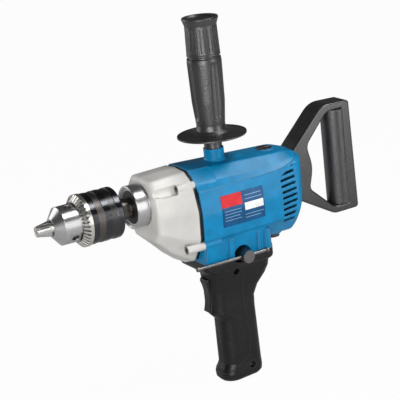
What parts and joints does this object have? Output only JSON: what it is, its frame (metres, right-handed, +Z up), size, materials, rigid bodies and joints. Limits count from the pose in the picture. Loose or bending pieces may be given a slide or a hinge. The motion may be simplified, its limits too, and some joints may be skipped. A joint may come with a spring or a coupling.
{
  "type": "rotary drill",
  "caption": "Electric rotary drill with keyed jaw chuck, grey gear case, blue motor housing, pistol grip, rear D handle and upright side handle, for boring and mixing.",
  "frame": {"origin": "on the spindle axis, at the front face of the chuck's nose", "axes": "-X along the spindle, out of the chuck; +X towards the rear handle; +Z up, along the side handle; -Y towards the side that shows the rating plate and the stored chuck key"},
  "size_m": [0.3764, 0.0935, 0.395],
  "materials": {
    "bright_steel": "turned and polished",
    "sleeve_steel": "blackened, with bright bevel teeth",
    "collar_chrome": "polished",
    "screw_steel": "zinc plated, dulled",
    "key_steel": "oiled",
    "case_paint": "pale grey satin paint on cast aluminium",
    "blue_plastic": "satin",
    "black_plastic": "fine grain",
    "label_blue": "printed sheet",
    "bronze": "machined",
    "copper": "varnished copper",
    "core_iron": "laminated sheet steel",
    "carbon": "pressed carbon",
    "fan_plastic": "moulded",
    "soft_rubber": "matt"
  },
  "bodies": {
    "tool_body": {"armature_front_bearing": "bright_steel", "armature_rear_bearing": "bright_steel", "brush_caps": "black_plastic", "brush_holders": "bronze", "brush_springs": "bright_steel", "carbon_brushes": "carbon", "cord_clamp": "black_plastic", "cord_clamp_screws": "screw_steel", "cord_gland": "soft_rubber", "counter_front_bush": "bronze", "counter_rear_bush": "bronze", "field_coils": "copper", "field_core": "core_iron", "gear_case": "case_paint", "gear_case_screws": "screw_steel", "grip_foot_screws": "screw_steel", "grip_left": "black_plastic", "grip_right": "black_plastic", "grip_screws": "screw_steel", "inner_plate": "black_plastic", "motor_housing": "blue_plastic", "neck_collar": "collar_chrome", "rating_plate": "label_blue", "rear_handle": "black_plastic", "rear_handle_grip": "black_plastic", "rear_handle_screws": "screw_steel", "side_handle_grip": "black_plastic", "side_handle_insert": "bronze", "side_handle_stud": "bright_steel", "spindle_front_bearing": "bright_steel", "spindle_rear_bush": "bronze", "spindle_seal": "soft_rubber", "switch_body": "black_plastic", "trigger_spring": "bright_steel"},
    "spindle_body": {"spindle": "bright_steel", "spindle_gear": "bright_steel", "chuck_body": "bright_steel", "chuck_lock_screw": "bright_steel"},
    "sleeve_body": {"chuck_sleeve": "sleeve_steel", "chuck_nut": "bright_steel"},
    "jaw_body_1": {"chuck_jaw_1": "bright_steel"},
    "jaw_body_2": {"chuck_jaw_2": "bright_steel"},
    "jaw_body_3": {"chuck_jaw_3": "bright_steel"},
    "counter_body": {"counter_shaft": "bright_steel", "counter_gear": "bright_steel"},
    "armature_body": {"armature_shaft": "bright_steel", "armature_core": "core_iron", "armature_windings": "copper", "commutator": "copper", "cooling_fan": "fan_plastic"},
    "trigger_body": {"trigger": "black_plastic"},
    "key_body": {"chuck_key": "key_steel"},
    "key_bar_body": {"chuck_key_bar": "key_steel"}
  },
  "joints": [
    {"name": "spindle_spin", "type": "hinge", "parent": "tool_body", "child": "spindle_body", "pos_m": [0.1, 0, 0], "axis": [1, 0, 0], "continuous": true},
    {"name": "counter_spin", "type": "hinge", "parent": "tool_body", "child": "counter_body", "pos_m": [0.13, 0.01868, -0.02347], "axis": [1, 0, 0], "continuous": true},
    {"name": "armature_spin", "type": "hinge", "parent": "tool_body", "child": "armature_body", "pos_m": [0.2, 0, -0.02], "axis": [1, 0, 0], "continuous": true},
    {"name": "sleeve_turn", "type": "hinge", "parent": "spindle_body", "child": "sleeve_body", "pos_m": [0.05, 0, 0], "axis": [1, 0, 0], "range_deg": [0, 4464]},
    {"name": "jaw_1_slide", "type": "slide", "parent": "spindle_body", "child": "jaw_body_1", "axis": [0.9781, 0.1593, 0.1336], "range_m": [0, 0.031]},
    {"name": "jaw_2_slide", "type": "slide", "parent": "spindle_body", "child": "jaw_body_2", "axis": [0.9781, -0.1954, 0.0711], "range_m": [0, 0.031]},
    {"name": "jaw_3_slide", "type": "slide", "parent": "spindle_body", "child": "jaw_body_3", "axis": [0.9781, 0.0361, -0.2048], "range_m": [0, 0.031]},
    {"name": "trigger_pull", "type": "slide", "parent": "tool_body", "child": "trigger_body", "axis": [1, 0, 0], "range_m": [0, 0.005], "stiffness_N_per_m": 500, "springref_m": -0.008, "deforming": ["trigger_spring"]},
    {"name": "key_draw", "type": "slide", "parent": "tool_body", "child": "key_body", "axis": [0, -1, 0], "range_m": [0, 0.07]},
    {"name": "key_bar_slide", "type": "slide", "parent": "key_body", "child": "key_bar_body", "axis": [1, 0, 0], "range_m": [-0.0174, 0.0494]}
  ],
  "couplings": [
    {"joint": "counter_spin", "follows": "spindle_spin", "ratio": -3.8},
    {"joint": "armature_spin", "follows": "spindle_spin", "ratio": 16.829},
    {"joint": "jaw_1_slide", "follows": "sleeve_turn", "m_per_rad": 0.00039789},
    {"joint": "jaw_2_slide", "follows": "sleeve_turn", "m_per_rad": 0.00039789},
    {"joint": "jaw_3_slide", "follows": "sleeve_turn", "m_per_rad": 0.00039789}
  ]
}
